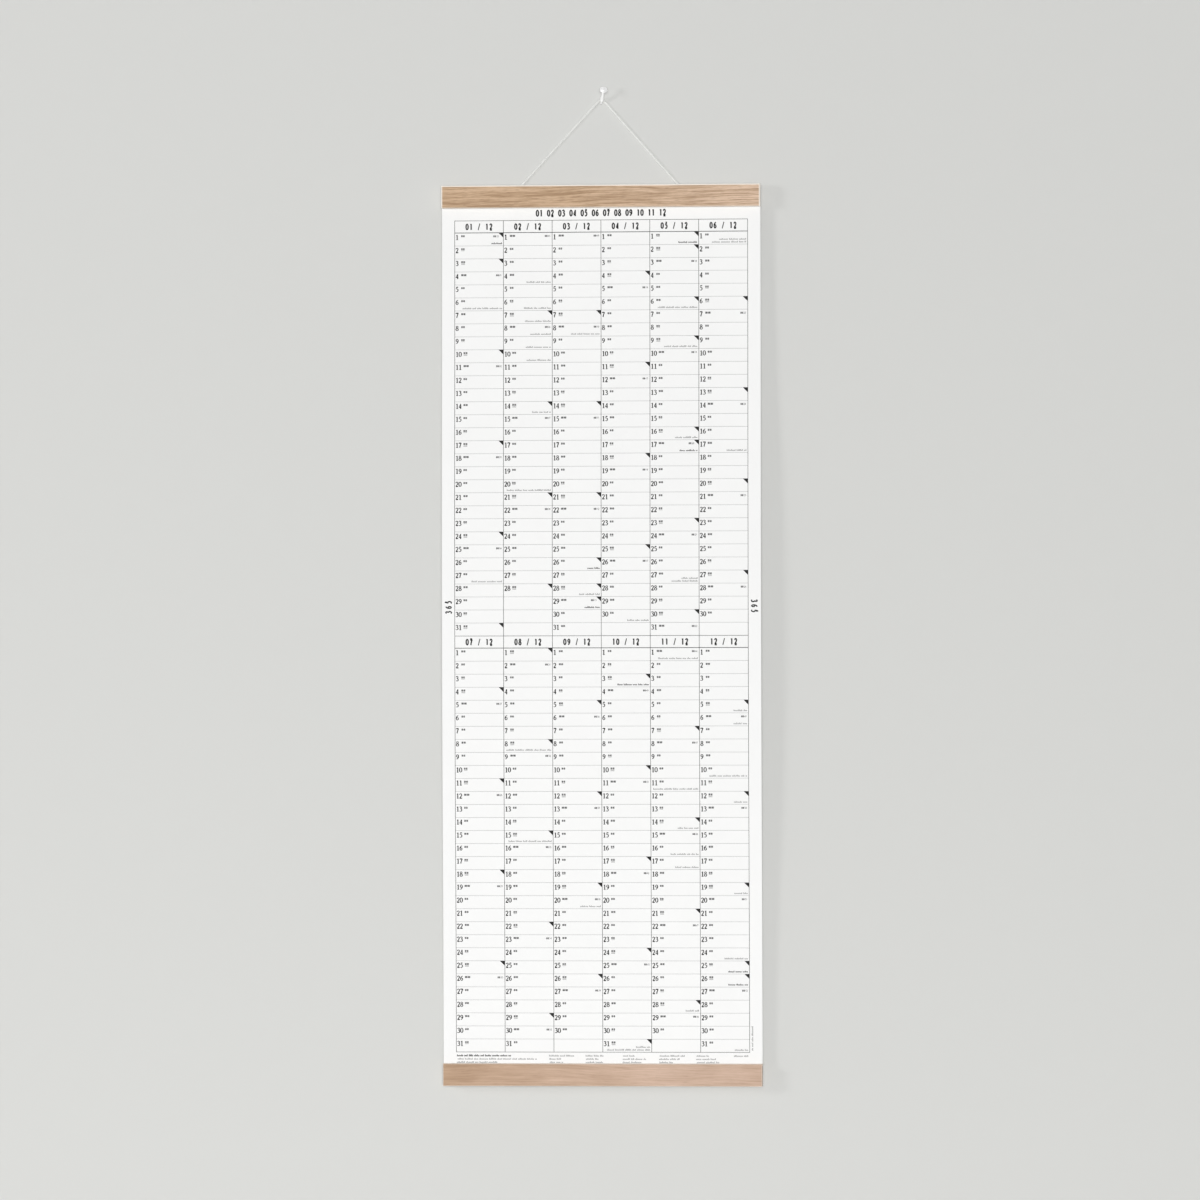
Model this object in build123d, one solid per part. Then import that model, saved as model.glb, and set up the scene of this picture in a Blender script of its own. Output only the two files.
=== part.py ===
from build123d import *
from math import asin, atan2, cos, hypot, pi, radians, sin, tan
import os

# Wall calendar: one printed year sheet clamped between two pairs of oak slats,
# which hold each other through the sheet by magnets. A knotted cord through the
# upper rear slat hangs it on a push pin.
# Millimetres. +X right, +Y into the wall, +Z up. The wall's face is y = 0, and the
# origin is the point where the pin's needle enters it.

# --- Sheet ---------------------------------------------------------------------
sheet_width = 300.0
sheet_height = 844.0
sheet_thickness = 0.3
sheet_bow = 8.0          # the middle of the sheet stands this far in front of its ends

# --- Slats ---------------------------------------------------------------------
slat_height = 21.0
slat_depth = 8.0
slat_lip = 1.0           # slats reach this far past the sheet's top and bottom edges
slat_overhang = 0.0      # and this far past its sides
slat_edge_radius = 0.6

# --- Magnets, one row in each slat ---------------------------------------------
magnet_diameter = 8.0
magnet_thickness = 2.0
magnets_per_slat = 4
magnet_end_margin = 30.0  # slat end to the middle of the nearest magnet
magnet_recess = 0.1       # magnets end this far below the slat's face
magnet_clearance = 0.1    # around each magnet in its pocket

# --- Cord and its knots --------------------------------------------------------
cord_diameter = 2.0
cord_spacing = 160.0      # between the two holes in the upper rear slat
cord_hole_drop = 8.0      # slat's top edge down to the holes
cord_hang_height = 78.5   # slat's top edge up to the place where the cord hangs
cord_bend_radius = 2.0    # where the cord turns out of its hole
cord_hole_clearance = 0.7
cord_hole_chamfer = 0.5
cord_wall_gap = 0.3
cord_slat_gap = 0.2
cord_pin_gap = 0.3
knot_diameter = 5.6
knot_height = 4.0
knot_seat_diameter = 4.6
knot_clearance = 0.7      # around each knot in its recess
knot_headroom = 1.0       # between a knot and the sheet

# --- Push pin ------------------------------------------------------------------
pin_rise = 42.0           # degrees that the pin points up, out of the wall
pin_lean = 15.5           # degrees that it leans to the right, seen from the front
pin_length = 14.7         # foot to the top of the head
neck_diameter = 1.8
foot_diameter = 4.1
foot_thickness = 0.9
waist_diameter = 2.4
head_diameter = 7.4
head_rim = 0.9
head_crown = 0.5
pin_edge_radius = 0.25
needle_diameter = 1.1
needle_grip = 11.0        # straight length of needle inside the wall
needle_tip = 2.2
needle_root = 8.0         # length of needle moulded into the body
needle_root_diameter = 0.7

# --- Places that follow from the sizes above -----------------------------------
cord_radius = cord_diameter / 2
cord_y = -(cord_wall_gap + cord_radius)
slat_length = sheet_width + 2 * slat_overhang
slat_back_y = -(cord_wall_gap + cord_diameter + cord_slat_gap)
clamp_y = slat_back_y - slat_depth           # where the rear slats meet the sheet
front_clamp_y = clamp_y - sheet_thickness    # where the front slats meet the sheet

pin_axis = Vector(
    sin(radians(pin_rise)) * sin(radians(pin_lean)),
    -cos(radians(pin_rise)),
    sin(radians(pin_rise)) * cos(radians(pin_lean)),
)
pin_plane = Plane(origin=(0, 0, 0), x_dir=(1, 0, 0), z_dir=pin_axis)
hang_along_pin = -cord_y / cos(radians(pin_rise))
hang_point = pin_axis * hang_along_pin       # the cord's loop is centred here
loop_radius = (neck_diameter / 2 + cord_radius) / cos(radians(pin_rise)) + cord_pin_gap
neck_end = neck_diameter / 2 * tan(radians(pin_rise))  # its lower edge meets the wall
foot_along_pin = (
    hang_along_pin + loop_radius * sin(radians(pin_rise)) + cord_radius + cord_pin_gap
)

top_z = hang_point.Z - cord_hang_height      # top edge of the upper slats
bottom_z = top_z - sheet_height - 2 * slat_lip
slat_z = {"top": top_z - slat_height / 2, "bottom": bottom_z + slat_height / 2}
cord_hole_z = top_z - cord_hole_drop
knot_seat_y = clamp_y + knot_headroom + knot_height

magnet_row = slat_length - 2 * magnet_end_margin
magnet_xs = [
    hang_point.X - magnet_row / 2 + magnet_row * i / (magnets_per_slat - 1)
    for i in range(magnets_per_slat)
]
cord_hole_xs = {
    "left": hang_point.X - cord_spacing / 2,
    "right": hang_point.X + cord_spacing / 2,
}


def rod(x, z, y_front, y_back, diameter):
    """A cylinder along Y between two depths."""
    middle = (x, (y_front + y_back) / 2, z)
    return Pos(*middle) * Rot(X=90) * Cylinder(diameter / 2, abs(y_back - y_front))


def turned(outline):
    """A solid of revolution about Z, from an outline in the XZ plane."""
    return revolve(make_face(outline), Axis.Z)


def sheet_profile(y):
    """One face of the sheet from the side: straight in each clamp, three arcs between."""
    clamp_top = top_z - slat_height
    clamp_bottom = bottom_z + slat_height
    quarter = (clamp_top - clamp_bottom) / 4
    middle = (clamp_top + clamp_bottom) / 2
    edge_top = (0, y, top_z - slat_lip)
    edge_bottom = (0, y, bottom_z + slat_lip)
    above = (0, y - sheet_bow / 2, middle + quarter)
    below = (0, y - sheet_bow / 2, middle - quarter)
    return [
        Line(edge_top, (0, y, clamp_top)),
        TangentArc((0, y, clamp_top), above, tangent=(0, 0, -1)),
        ThreePointArc(above, (0, y - sheet_bow, middle), below),
        TangentArc((0, y, clamp_bottom), below, tangent=(0, 0, 1)),
        Line((0, y, clamp_bottom), edge_bottom),
    ]


def calendar_sheet():
    """The printed sheet, bowed gently towards the room between the slats."""
    ends = [
        Line((0, clamp_y, z), (0, front_clamp_y, z))
        for z in (top_z - slat_lip, bottom_z + slat_lip)
    ]
    side = make_face(sheet_profile(clamp_y) + sheet_profile(front_clamp_y) + ends)
    return Pos(X=hang_point.X) * extrude(side, sheet_width / 2, both=True, dir=(1, 0, 0))


def slat(rail, face):
    """One oak slat with blind magnet pockets in the face that meets the sheet."""
    is_front = face == "front"
    clamp = front_clamp_y if is_front else clamp_y
    outward = -1 if is_front else 1
    middle = (hang_point.X, clamp + outward * slat_depth / 2, slat_z[rail])
    body = Pos(*middle) * Box(slat_length, slat_depth, slat_height)
    outer_face = body.faces().sort_by(Axis.Y)[0 if is_front else -1]
    body = fillet(outer_face.edges(), slat_edge_radius)
    pocket_end = clamp + outward * (magnet_recess + magnet_thickness)
    for x in magnet_xs:
        bore = magnet_diameter + 2 * magnet_clearance
        body -= rod(x, slat_z[rail], clamp, pocket_end, bore)
    return body


def magnet(rail, face, x):
    """A disc magnet seated on the floor of its pocket."""
    is_front = face == "front"
    outer = (front_clamp_y - magnet_recess) if is_front else (clamp_y + magnet_recess)
    inner = outer + (-magnet_thickness if is_front else magnet_thickness)
    return rod(x, slat_z[rail], outer, inner, magnet_diameter)


def with_cord_holes(body):
    """Bore the upper rear slat for the cord, with a recess in front for each knot."""
    hole = cord_diameter + 2 * cord_hole_clearance
    for x in cord_hole_xs.values():
        body -= rod(x, cord_hole_z, knot_seat_y, slat_back_y, hole)
        body -= rod(x, cord_hole_z, clamp_y, knot_seat_y, knot_diameter + 2 * knot_clearance)
        mouth = Pos(x, slat_back_y - cord_hole_chamfer / 2, cord_hole_z) * Rot(X=-90)
        body -= mouth * Cone(hole / 2, hole / 2 + cord_hole_chamfer, cord_hole_chamfer)
    return body


def knot(side):
    """A stopper knot: its flat back sits on the recess's floor and meets the cord's end."""
    seat = knot_seat_diameter / 2
    widest = (knot_diameter / 2, 0, knot_height / 2)
    outline = [
        Line((0, 0, 0), (seat, 0, 0)),
        ThreePointArc((seat, 0, 0), widest, (seat, 0, knot_height)),
        Line((seat, 0, knot_height), (0, 0, knot_height)),
        Line((0, 0, knot_height), (0, 0, 0)),
    ]
    return Pos(cord_hole_xs[side], knot_seat_y, cord_hole_z) * Rot(X=90) * turned(outline)


def cord_route():
    """Points of the cord: knot, out of the hole, tight up and over the pin, and back."""
    drop = hang_point.Z - cord_hole_z
    half = cord_spacing / 2
    strand = atan2(half, drop) - asin(loop_radius / hypot(half, drop))  # off the vertical
    crown_x = loop_radius * tan((pi / 2 - strand) / 2)
    crown_z = hang_point.Z + loop_radius
    return [
        (cord_hole_xs["left"], knot_seat_y, cord_hole_z),
        (cord_hole_xs["left"], cord_y, cord_hole_z),
        (hang_point.X - crown_x, cord_y, crown_z),
        (hang_point.X + crown_x, cord_y, crown_z),
        (cord_hole_xs["right"], cord_y, cord_hole_z),
        (cord_hole_xs["right"], knot_seat_y, cord_hole_z),
    ]


def cord():
    """A round tube along the route, with one arc round the pin's neck."""
    crown_radius = 0.98 * loop_radius  # leaves a short straight between its two halves
    radii = [cord_bend_radius, crown_radius, crown_radius, cord_bend_radius]
    path = FilletPolyline(*cord_route(), radius=radii)
    section = Plane(origin=path @ 0, z_dir=path % 0) * Circle(cord_radius)
    tube = sweep(section, path=path)
    section_times_length = pi * cord_radius**2 * path.length
    print("cord: length", round(path.length, 2), "radii", [round(r, 2) for r in radii])
    print("cord: volume over section times length", tube.volume / section_times_length)
    return tube


def pin_body():
    """The moulded body: neck, foot, tapering shank and crowned head."""
    neck, foot, waist, head = (
        d / 2 for d in (neck_diameter, foot_diameter, waist_diameter, head_diameter)
    )
    foot_top = foot_along_pin + foot_thickness
    head_top = foot_along_pin + pin_length
    rim_top = head_top - head_crown
    rim_bottom = rim_top - head_rim
    waist_z = rim_bottom - (head - waist)
    outline = [
        Line((0, 0, neck_end), (neck, 0, neck_end)),
        Line((neck, 0, neck_end), (neck, 0, foot_along_pin)),
        Line((neck, 0, foot_along_pin), (foot, 0, foot_along_pin)),
        Line((foot, 0, foot_along_pin), (foot, 0, foot_top)),
        TangentArc((waist, 0, waist_z), (foot, 0, foot_top), tangent=(0, 0, -1)),
        TangentArc((waist, 0, waist_z), (head, 0, rim_bottom), tangent=(0, 0, 1)),
        Line((head, 0, rim_bottom), (head, 0, rim_top)),
        TangentArc((0, 0, head_top), (head, 0, rim_top), tangent=(1, 0, 0)),
        Line((0, 0, head_top), (0, 0, neck_end)),
    ]
    body = turned(outline)
    rims = body.edges().filter_by(GeomType.CIRCLE).filter_by(
        lambda edge: edge.radius > waist + pin_edge_radius
    )
    body = fillet(rims, pin_edge_radius)
    socket = Cylinder(needle_root_diameter / 2, needle_root)
    body -= Pos(Z=neck_end + needle_root / 2) * socket
    return pin_plane * body


def pin_needle():
    """The steel needle: a thinner root in the body, a shoulder under it, and a point."""
    radius = needle_diameter / 2
    root = needle_root_diameter / 2
    outline = [
        Line((0, 0, neck_end + needle_root), (root, 0, neck_end + needle_root)),
        Line((root, 0, neck_end + needle_root), (root, 0, neck_end)),
        Line((root, 0, neck_end), (radius, 0, neck_end)),
        Line((radius, 0, neck_end), (radius, 0, -needle_grip)),
        Line((radius, 0, -needle_grip), (0, 0, -needle_grip - needle_tip)),
        Line((0, 0, -needle_grip - needle_tip), (0, 0, neck_end + needle_root)),
    ]
    return pin_plane * turned(outline)


def nodes():
    """Every sub-part by name."""
    parts = {"calendar_sheet": calendar_sheet()}
    for rail in ("top", "bottom"):
        for face in ("front", "rear"):
            parts[f"{rail}_{face}_slat"] = slat(rail, face)
            for number, x in enumerate(magnet_xs, start=1):
                parts[f"{rail}_{face}_magnet_{number}"] = magnet(rail, face, x)
    parts["top_rear_slat"] = with_cord_holes(parts["top_rear_slat"])
    parts["hanging_cord"] = cord()
    for side in cord_hole_xs:
        parts[f"cord_knot_{side}"] = knot(side)
    parts["pin_body"] = pin_body()
    parts["pin_needle"] = pin_needle()
    return parts


os.makedirs("parts", exist_ok=True)
for name, part in nodes().items():
    export_step(part, f"parts/{name}.step")
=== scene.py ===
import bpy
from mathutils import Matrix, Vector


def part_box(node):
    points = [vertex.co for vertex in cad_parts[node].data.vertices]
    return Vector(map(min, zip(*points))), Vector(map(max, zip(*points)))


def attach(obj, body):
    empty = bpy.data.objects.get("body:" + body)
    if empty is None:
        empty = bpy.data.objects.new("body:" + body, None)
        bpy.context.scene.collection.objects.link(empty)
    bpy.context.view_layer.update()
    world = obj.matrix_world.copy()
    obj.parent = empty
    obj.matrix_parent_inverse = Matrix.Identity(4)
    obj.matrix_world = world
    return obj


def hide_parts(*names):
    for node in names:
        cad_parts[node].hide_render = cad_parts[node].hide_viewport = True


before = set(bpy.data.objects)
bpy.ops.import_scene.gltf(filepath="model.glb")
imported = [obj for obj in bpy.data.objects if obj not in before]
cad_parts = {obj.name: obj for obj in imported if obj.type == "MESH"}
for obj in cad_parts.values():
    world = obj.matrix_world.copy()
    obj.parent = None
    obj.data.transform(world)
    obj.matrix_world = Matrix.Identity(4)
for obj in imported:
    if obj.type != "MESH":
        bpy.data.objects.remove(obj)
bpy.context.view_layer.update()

from datetime import date, timedelta
from math import cos, pi, radians, sin

import bpy
import numpy as np
from mathutils import Matrix, Vector

bl_info = {
    "name": "Slat-Hung Year Calendar",
    "version": (1, 0, 0),
    "blender": (4, 5, 0),
    "location": "View3D > Sidebar > Calendar",
    "description": "Sheet, print, oak, cord and stage for a slat-hung year calendar",
    "category": "Add Mesh",
}

MM = 0.001


# --- Places that come from the frame, in millimetres ---
def box_mm(node):
    """The low and the high corner of a CAD node's box."""
    return (np.array(corner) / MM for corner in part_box(node))


SHEET_LOW, SHEET_HIGH = box_mm("calendar_sheet")
UPPER_LOW, UPPER_HIGH = box_mm("top_front_slat")
_, LOWER_HIGH = box_mm("bottom_front_slat")
CENTRE_X = float(SHEET_LOW[0] + SHEET_HIGH[0]) / 2
SHEET_WIDTH = float(SHEET_HIGH[0] - SHEET_LOW[0])
FACE_Y = UPPER_HIGH[1]                       # the sheet's front face where it is clamped
BACK_Y = SHEET_HIGH[1]
BOW = FACE_Y - SHEET_LOW[1]                  # how far its middle stands forward
CLAMP_TOP, CLAMP_BOTTOM = UPPER_LOW[2], LOWER_HIGH[2]
TOP_EDGE = UPPER_HIGH[2]                     # print heights are measured down from here


# --- Shader values ---
def maths(operation, reflected=False):
    """A method that feeds two values, or one, to a Math node of their material."""

    def method(self, *others):
        terms = (*others, self) if reflected else (self, *others)
        return self.paint.node("ShaderNodeMath", dict(enumerate(terms)), operation=operation)

    return method


class Value:
    """A shader socket; operators on it add Math nodes to its material."""

    def __init__(self, paint, socket):
        self.paint, self.socket = paint, socket

    __add__ = __radd__ = maths("ADD")
    __mul__ = __rmul__ = maths("MULTIPLY")
    __sub__, __rsub__ = maths("SUBTRACT"), maths("SUBTRACT", reflected=True)
    __truediv__, __rtruediv__ = maths("DIVIDE"), maths("DIVIDE", reflected=True)
    __abs__ = maths("ABSOLUTE")
    smaller, larger = maths("MINIMUM"), maths("MAXIMUM")

    def clamped(self):
        return self.smaller(1.0).larger(0.0)

    def ramped(self, low, high):
        """0 at low, 1 at high and a straight line between."""
        return ((self - low) / (high - low)).clamped()


class Paint:
    """One material being built."""

    def __init__(self, name):
        self.material = bpy.data.materials.new(name)
        self.material.use_nodes = True
        self.tree = self.material.node_tree
        self.shader = self.tree.nodes["Principled BSDF"]
        self.output = self.tree.nodes["Material Output"]

    def node(self, kind, sockets=None, out=0, **settings):
        """Adds a node of any type: its settings first, then its sockets' values or links."""
        made = self.tree.nodes.new(kind)
        for key, value in settings.items():
            setattr(made, key, value)
        for key, value in (sockets or {}).items():
            self.feed(made.inputs[key], value)
        return Value(self, made.outputs[out])

    def feed(self, socket, value):
        if isinstance(value, Value):
            self.tree.links.new(value.socket, socket)
        else:
            socket.default_value = value

    def set(self, **sockets):
        """Sets or links the shader's own sockets, named with underscores for spaces."""
        for key, value in sockets.items():
            self.feed(self.shader.inputs[key.replace("_", " ")], value)
        return self

    def coordinates(self, source="Object"):
        """Object coordinates in millimetres, or the piece's own UV map."""
        here = self.node("ShaderNodeTexCoord", out=source)
        if source != "Object":
            return here
        return self.node("ShaderNodeVectorMath", {0: here, "Scale": 1 / MM}, operation="SCALE")

    def mapped(self, vector, location=(0, 0, 0), rotation=(0, 0, 0), scale=(1, 1, 1)):
        sockets = {"Vector": vector, "Location": location, "Rotation": rotation, "Scale": scale}
        return self.node("ShaderNodeMapping", sockets)

    def noise(self, vector, scale, detail=2.0, roughness=0.5):
        """Noise with as many features a unit as scale says, on each axis if it has three."""
        if isinstance(scale, tuple):
            vector, scale = self.mapped(vector, scale=scale), 1.0
        sockets = {"Vector": vector, "Scale": scale, "Detail": detail, "Roughness": roughness}
        return self.node("ShaderNodeTexNoise", sockets)

    def axis(self, vector, name):
        return self.node("ShaderNodeSeparateXYZ", {0: vector}, name)

    def mix(self, factor, a, b, blend="MIX"):
        """Mixes two colours."""
        sockets = {0: factor, 6: colour4(a), 7: colour4(b)}
        return self.node("ShaderNodeMix", sockets, 2, data_type="RGBA", blend_type=blend)

    def bump(self, height, distance, strength):
        """Feeds the shader's normal from a height from 0 to 1, distance in millimetres."""
        sockets = {"Height": height, "Distance": distance * MM, "Strength": strength}
        return self.set(Normal=self.node("ShaderNodeBump", sockets))


def colour4(colour):
    return colour if isinstance(colour, Value) else (*colour[:3], 1.0)


# --- Surfaces ---
def add_object(name, data):
    made = bpy.data.objects.new(name, data)
    bpy.context.scene.collection.objects.link(made)
    return made


def make_piece(name, points, *faces, smooth=None, uv=None):
    """A mesh object from points in millimetres and arrays of corners, one row a face.

    smooth is the angle in degrees past which an edge stays sharp, or None for flat.
    """
    mesh = bpy.data.meshes.new(name)
    corners = np.concatenate([np.asarray(block).ravel() for block in faces])
    sizes = np.concatenate([np.full(len(block), len(block[0])) for block in faces])
    starts = np.concatenate([[0], np.cumsum(sizes)[:-1]])
    mesh.vertices.add(len(points))
    mesh.vertices.foreach_set("co", (np.asarray(points) * MM).ravel())
    mesh.loops.add(len(corners))
    mesh.loops.foreach_set("vertex_index", corners.astype(np.int32))
    mesh.polygons.add(len(starts))
    mesh.polygons.foreach_set("loop_start", starts.astype(np.int32))
    if uv is not None:
        layer = mesh.uv_layers.new(name="UVMap")
        layer.data.foreach_set("uv", np.asarray(uv)[corners].astype(np.float32).ravel())
    mesh.update(calc_edges=True)
    mesh.validate()
    if smooth is None:
        mesh.shade_flat()
    else:
        mesh.shade_smooth()
        mesh.set_sharp_from_angle(angle=radians(smooth))
    return add_object(name, mesh)


def dress(piece, material):
    """Gives a piece its material and slot, and hangs it with the calendar."""
    piece.data.materials.append(material)
    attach(piece, "calendar")
    return piece


def slabs(front, back, ring=False):
    """Closed slabs between pairs of grids, as (points, quads).

    front and back are (slab, row, column, 3) arrays, with rows and columns running down
    and to the right as seen from the front. Each slab is its front grid, its back grid
    turned over, and the strip between their borders. A ring's last row joins its first.
    """
    count, rows, columns, _ = front.shape
    grid = np.arange(rows * columns).reshape(rows, columns)
    below = np.roll(grid, -1, axis=0) if ring else grid[1:]
    above = grid if ring else grid[:-1]
    face = np.stack(
        [above[:, :-1], below[:, :-1], below[:, 1:], above[:, 1:]], axis=-1
    ).reshape(-1, 4)
    if ring:
        left = np.stack([above[:, 0], below[:, 0]], axis=-1)
        right = np.stack([below[:, -1], above[:, -1]], axis=-1)
        rim = np.concatenate([left, right])
    else:
        border = np.concatenate(
            [grid[:, 0], grid[-1, 1:], grid[-2::-1, -1], grid[0, -2:0:-1]]
        )
        rim = np.stack([border, np.roll(border, -1)], axis=-1)
    behind = rows * columns
    strip = np.column_stack([rim[:, 1], rim[:, 0], rim[:, 0] + behind, rim[:, 1] + behind])
    quads = np.concatenate([face, face[:, ::-1] + behind, strip])
    shift = np.arange(count)[:, None, None] * 2 * behind
    points = np.concatenate(
        [front.reshape(count, -1, 3), back.reshape(count, -1, 3)], axis=1
    )
    return points.reshape(-1, 3), (quads[None] + shift).reshape(-1, 4)


def unit(vectors):
    return vectors / np.linalg.norm(vectors, axis=-1, keepdims=True)


def slope(points, closed):
    """The step through each point, from the one before it to the one after."""
    if closed:
        return np.roll(points, -1, axis=0) - np.roll(points, 1, axis=0)
    return np.gradient(points, axis=0)


def merged(parts):
    """Several (points, quads) as one."""
    shifts = np.cumsum([0] + [len(points) for points, _ in parts[:-1]])
    return (
        np.concatenate([points for points, _ in parts]),
        np.concatenate([quads + shift for (_, quads), shift in zip(parts, shifts)]),
    )


# The sheet's waves, as (length across, length down, start, share), lengths in millimetres.
WAVES = ((47.0, 190.0, 0.0, 1.0), (83.0, -120.0, 1.3, 0.7))


def sheet_depth(x, drop):
    """Y of the sheet's front face at x from its middle and drop below the slat's top edge.

    Four equal arcs of one radius make the bow: two that leave the clamps upright and
    two that meet at the middle. An arc's sagitta is its radius less the square root of
    the radius squared less the distance squared. The slight cockle is a sum of faint
    sine waves, faded out at the clamps by f squared times (3 - 2 f).
    """
    z = TOP_EDGE - drop
    middle, quarter = (CLAMP_TOP + CLAMP_BOTTOM) / 2, (CLAMP_TOP - CLAMP_BOTTOM) / 4
    radius = (quarter**2 + (BOW / 2) ** 2) / BOW
    away = np.abs(z - middle)
    inner = BOW - radius + np.sqrt(np.maximum(radius**2 - away**2, 0))
    rest = np.maximum(2 * quarter - away, 0)
    outer = radius - np.sqrt(np.maximum(radius**2 - rest**2, 0))
    bow = np.where(away <= quarter, inner, outer)
    cockle = chosen().sheet.cockle / MM
    fade = np.clip(rest / (quarter / 2), 0, 1)
    fade = fade * fade * (3 - 2 * fade)
    waves = sum(
        share * np.sin(x / across + z / down + start) for across, down, start, share in WAVES
    )
    return FACE_Y - bow - cockle * fade * waves


def printed(flat, proud, sunk=0.05):
    """The two faces of slabs on the sheet, from (slab, row, column, 2) grids of x and drop.

    The front face stands proud of the sheet's own depth and the back face is sunk in it.
    """
    x, drop = flat[..., 0], flat[..., 1]
    depth = sheet_depth(x, drop)
    place = lambda y: np.stack([CENTRE_X + x, y, TOP_EDGE - drop], axis=-1)
    return place(depth - proud), place(depth + sunk)


def boxes(left, top, right, bottom, across=2, down=2):
    """Rectangles as (slab, row, column, 2) grids: x goes evenly from left to right along
    a row, and drop evenly from top to bottom down a column."""
    left, top, right, bottom = np.broadcast_arrays(left, top, right, bottom)
    u, v = np.linspace(0, 1, across), np.linspace(0, 1, down)
    x = left[:, None] + (right - left)[:, None] * u
    drop = top[:, None] + (bottom - top)[:, None] * v
    return np.stack(np.broadcast_arrays(x[:, None, :], drop[:, :, None]), axis=-1)


def blocks(rectangles, proud):
    """Flat blocks of ink from rows of (left, top, right, bottom), as (points, quads)."""
    return slabs(*printed(boxes(*np.asarray(rectangles).T), proud))


# --- Numerals ---
# Each numeral is a few strokes on a grid one unit tall. A stroke is ("line", points),
# ("curve", points) or ("ring", points), and a weight that scales its width.
STROKES = {
    "0": [("ring", [(0.31, 0.97), (0.12, 0.8), (0.07, 0.5), (0.12, 0.2), (0.31, 0.03),
            (0.5, 0.2), (0.55, 0.5), (0.5, 0.8)], 1.0)],
    "1": [("line", [(0.33, 1.0), (0.33, 0.0)], 1.0),
          ("line", [(0.33, 0.95), (0.13, 0.84)], 1.0)],
    "2": [("curve", [(0.09, 0.74), (0.16, 0.91), (0.31, 0.97), (0.46, 0.88), (0.49, 0.7),
            (0.39, 0.46), (0.23, 0.23), (0.09, 0.05)], 1.0),
          ("line", [(0.07, 0.05), (0.55, 0.05)], 2.0)],
    "3": [("curve", [(0.1, 0.82), (0.19, 0.94), (0.31, 0.97), (0.44, 0.88), (0.44, 0.7),
            (0.34, 0.58), (0.22, 0.54)], 1.0),
          ("curve", [(0.22, 0.54), (0.4, 0.5), (0.51, 0.33), (0.46, 0.13), (0.31, 0.03),
            (0.16, 0.04), (0.07, 0.11)], 1.0)],
    "4": [("line", [(0.42, 1.0), (0.42, 0.0)], 1.0),
          ("line", [(0.4, 0.96), (0.05, 0.29)], 0.55),
          ("line", [(0.04, 0.29), (0.57, 0.29)], 1.6)],
    "5": [("line", [(0.17, 0.94), (0.51, 0.94)], 2.0),
          ("line", [(0.18, 0.95), (0.12, 0.57)], 0.5),
          ("curve", [(0.12, 0.57), (0.29, 0.62), (0.45, 0.53), (0.5, 0.33), (0.42, 0.12),
            (0.25, 0.03), (0.07, 0.08)], 1.0)],
    "6": [("curve", [(0.5, 0.96), (0.3, 0.86), (0.14, 0.65), (0.09, 0.36), (0.15, 0.13),
            (0.31, 0.03), (0.46, 0.13), (0.52, 0.31), (0.46, 0.5), (0.31, 0.58),
            (0.14, 0.47)], 1.0)],
    "7": [("line", [(0.07, 0.94), (0.55, 0.94)], 2.0),
          ("curve", [(0.53, 0.94), (0.4, 0.62), (0.3, 0.3), (0.24, 0.0)], 1.0)],
    "8": [("ring", [(0.31, 0.97), (0.17, 0.91), (0.14, 0.76), (0.2, 0.61), (0.31, 0.54),
            (0.42, 0.61), (0.48, 0.76), (0.45, 0.91)], 0.85),
          ("ring", [(0.31, 0.54), (0.14, 0.43), (0.08, 0.27), (0.15, 0.1), (0.31, 0.03),
            (0.47, 0.1), (0.54, 0.27), (0.48, 0.43)], 1.0)],
    "/": [("line", [(0.5, 1.05), (0.12, -0.05)], 0.7)],
}
STROKES["9"] = [
    (kind, [(0.62 - x, 1 - y) for x, y in points], weight)
    for kind, points, weight in STROKES["6"]
]
SERIFS = {
    "1": [("line", [(0.13, 0.02), (0.53, 0.02)], 1.0)],
    "4": [("line", [(0.3, 0.02), (0.54, 0.02)], 1.0)],
    "7": [("line", [(0.08, 0.95), (0.06, 0.8)], 0.5)],
}
GLYPH_WIDTH = 0.62


def smoothed(points, count, ring):
    """Points on the cubic through each control point whose slope there is half the step
    between its two neighbours."""
    p = np.array(points, float)
    if ring:
        p = np.vstack([p[-1:], p, p[:2]])
        t = np.linspace(0, len(points), count, endpoint=False)
    else:
        p = np.vstack([2 * p[0] - p[1], p, 2 * p[-1] - p[-2]])
        t = np.linspace(0, len(points) - 1 - 1e-9, count)
    i = t.astype(int)
    f = (t - i)[:, None]
    a, b, c, d = p[i], p[i + 1], p[i + 2], p[i + 3]
    return 0.5 * (
        2 * b + (c - a) * f + (2 * a - 5 * b + 4 * c - d) * f**2
        + (3 * b - a - 3 * c + d) * f**3
    )


def glyph(character, thick, thin, serif):
    """The strokes of one numeral as (row, column, 2) ribbons, each with its ring flag.

    A stroke's half width goes from thin where it runs level to thick where it runs
    upright, as a broad nib draws it.
    """
    ribbons = []
    for kind, points, weight in STROKES[character] + (
        SERIFS.get(character, []) if serif else []
    ):
        ring = kind == "ring"
        line = np.array(points, float)
        if kind != "line":
            line = smoothed(points, 12 if ring else 10, ring)
        run = unit(slope(line, ring))
        half = weight * (thin + (thick - thin) * np.abs(run[:, 1:]) ** 1.4)
        side = np.column_stack([run[:, 1], -run[:, 0]]) * half
        ribbons.append((np.stack([line + side, line - side], axis=1), ring))
    return ribbons


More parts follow.
